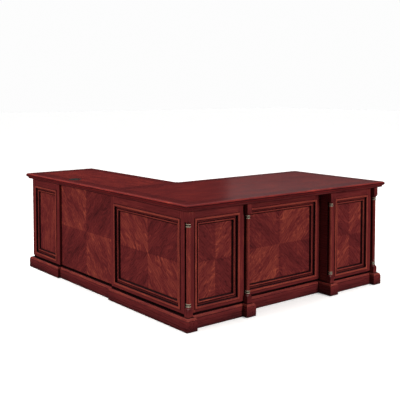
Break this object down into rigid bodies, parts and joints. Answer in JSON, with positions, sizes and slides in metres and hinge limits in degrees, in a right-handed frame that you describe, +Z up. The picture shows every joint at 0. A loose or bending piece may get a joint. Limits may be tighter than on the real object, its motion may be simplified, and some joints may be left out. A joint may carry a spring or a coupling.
{
  "type": "corner desk",
  "caption": "L-shaped executive desk with panelled front and ends, turned corner posts, a drawer pedestal on each wing, a centre drawer and a cable grommet.",
  "frame": {"origin": "the middle of the bounding box, on the floor", "axes": "+Z up; the main desk's panelled front faces -Y; the return runs to +Y along the -X side; the user sits inside the L"},
  "size_m": [1.829, 2.134, 0.764],
  "materials": {
    "top_wood": "satin lacquered mahogany veneer",
    "body_wood": "satin lacquered mahogany",
    "veneer": "satin lacquered quartered veneer",
    "dark_wood": "dark stained hardwood",
    "inner_wood": "clear sealed birch",
    "antique_brass": "antique brushed",
    "steel": "zinc plated",
    "plastic": "fine matte"
  },
  "bodies": {
    "desk": {"desk_top": "top_wood", "return_top": "top_wood", "top_underframes": "dark_wood", "front_posts": "body_wood", "post_ferrules": "antique_brass", "desk_plinth": "body_wood", "return_plinth": "body_wood", "levelling_glides": "plastic", "front_frames": "body_wood", "side_frames": "body_wood", "panel_mouldings": "body_wood", "front_left_panel": "veneer", "front_middle_panel": "veneer", "front_right_panel": "veneer", "left_end_panel": "veneer", "right_end_panel": "veneer", "return_pedestal_panel": "veneer", "return_modesty_panel": "veneer", "return_end_panel": "veneer", "left_bay_side": "body_wood", "desk_pedestal_side": "body_wood", "pedestal_linings": "inner_wood", "desk_pedestal_boards": "inner_wood", "return_pedestal_side": "body_wood", "return_pedestal_boards": "inner_wood", "drawer_hangers": "dark_wood", "slide_outer_members": "steel", "joining_plates": "steel", "plate_screws": "steel", "grommet_sleeve": "plastic"},
    "grommet_cap": {"grommet_cap": "plastic"},
    "top_drawer": {"top_drawer_front": "body_wood", "top_drawer_box": "inner_wood", "top_drawer_pull": "antique_brass", "top_slide_inners": "steel"},
    "top_middles": {"top_slide_middles": "steel"},
    "middle_drawer": {"middle_drawer_front": "body_wood", "middle_drawer_box": "inner_wood", "middle_drawer_pull": "antique_brass", "middle_slide_inners": "steel"},
    "middle_middles": {"middle_slide_middles": "steel"},
    "file_drawer": {"file_drawer_front": "body_wood", "file_drawer_box": "inner_wood", "file_drawer_pull": "antique_brass", "file_slide_inners": "steel"},
    "file_middles": {"file_slide_middles": "steel"},
    "return_upper_drawer": {"return_upper_front": "body_wood", "return_upper_box": "inner_wood", "return_upper_pull": "antique_brass", "return_upper_inners": "steel"},
    "return_upper_middles": {"return_upper_middles": "steel"},
    "return_lower_drawer": {"return_lower_front": "body_wood", "return_lower_box": "inner_wood", "return_lower_pull": "antique_brass", "return_lower_inners": "steel"},
    "return_lower_middles": {"return_lower_middles": "steel"},
    "centre_drawer": {"centre_drawer_tray": "dark_wood", "centre_drawer_inners": "steel"},
    "centre_flap": {"centre_drawer_flap": "body_wood"},
    "lock": {"lock_core": "antique_brass"}
  },
  "joints": [
    {"name": "top_drawer_slide", "type": "slide", "parent": "desk", "child": "top_drawer", "axis": [0, 1, 0], "range_m": [0, 0.5]},
    {"name": "top_middles_slide", "type": "slide", "parent": "desk", "child": "top_middles", "axis": [0, 1, 0], "range_m": [0, 0.25]},
    {"name": "middle_drawer_slide", "type": "slide", "parent": "desk", "child": "middle_drawer", "axis": [0, 1, 0], "range_m": [0, 0.5]},
    {"name": "middle_middles_slide", "type": "slide", "parent": "desk", "child": "middle_middles", "axis": [0, 1, 0], "range_m": [0, 0.25]},
    {"name": "file_drawer_slide", "type": "slide", "parent": "desk", "child": "file_drawer", "axis": [0, 1, 0], "range_m": [0, 0.5]},
    {"name": "file_middles_slide", "type": "slide", "parent": "desk", "child": "file_middles", "axis": [0, 1, 0], "range_m": [0, 0.25]},
    {"name": "return_upper_drawer_slide", "type": "slide", "parent": "desk", "child": "return_upper_drawer", "axis": [1, 0, 0], "range_m": [0, 0.4]},
    {"name": "return_upper_middles_slide", "type": "slide", "parent": "desk", "child": "return_upper_middles", "axis": [1, 0, 0], "range_m": [0, 0.2]},
    {"name": "return_lower_drawer_slide", "type": "slide", "parent": "desk", "child": "return_lower_drawer", "axis": [1, 0, 0], "range_m": [0, 0.4]},
    {"name": "return_lower_middles_slide", "type": "slide", "parent": "desk", "child": "return_lower_middles", "axis": [1, 0, 0], "range_m": [0, 0.2]},
    {"name": "centre_drawer_slide", "type": "slide", "parent": "desk", "child": "centre_drawer", "axis": [0, 1, 0], "range_m": [0, 0.3]},
    {"name": "centre_flap_hinge", "type": "hinge", "parent": "centre_drawer", "child": "centre_flap", "pos_m": [0.0355, -0.187, 0.669], "axis": [-1, 0, 0], "range_deg": [0, 85]},
    {"name": "lock_turn", "type": "hinge", "parent": "top_drawer", "child": "lock", "pos_m": [0.491, -0.173, 0.687], "axis": [0, 1, 0], "range_deg": [0, 90]},
    {"name": "grommet_cap_turn", "type": "hinge", "parent": "desk", "child": "grommet_cap", "pos_m": [-0.8075, 0.45, 0.762], "axis": [0, 0, 1], "continuous": true}
  ],
  "couplings": [
    {"joint": "top_middles_slide", "follows": "top_drawer_slide", "ratio": 0.5},
    {"joint": "middle_middles_slide", "follows": "middle_drawer_slide", "ratio": 0.5},
    {"joint": "file_middles_slide", "follows": "file_drawer_slide", "ratio": 0.5},
    {"joint": "return_upper_middles_slide", "follows": "return_upper_drawer_slide", "ratio": 0.5},
    {"joint": "return_lower_middles_slide", "follows": "return_lower_drawer_slide", "ratio": 0.5}
  ]
}
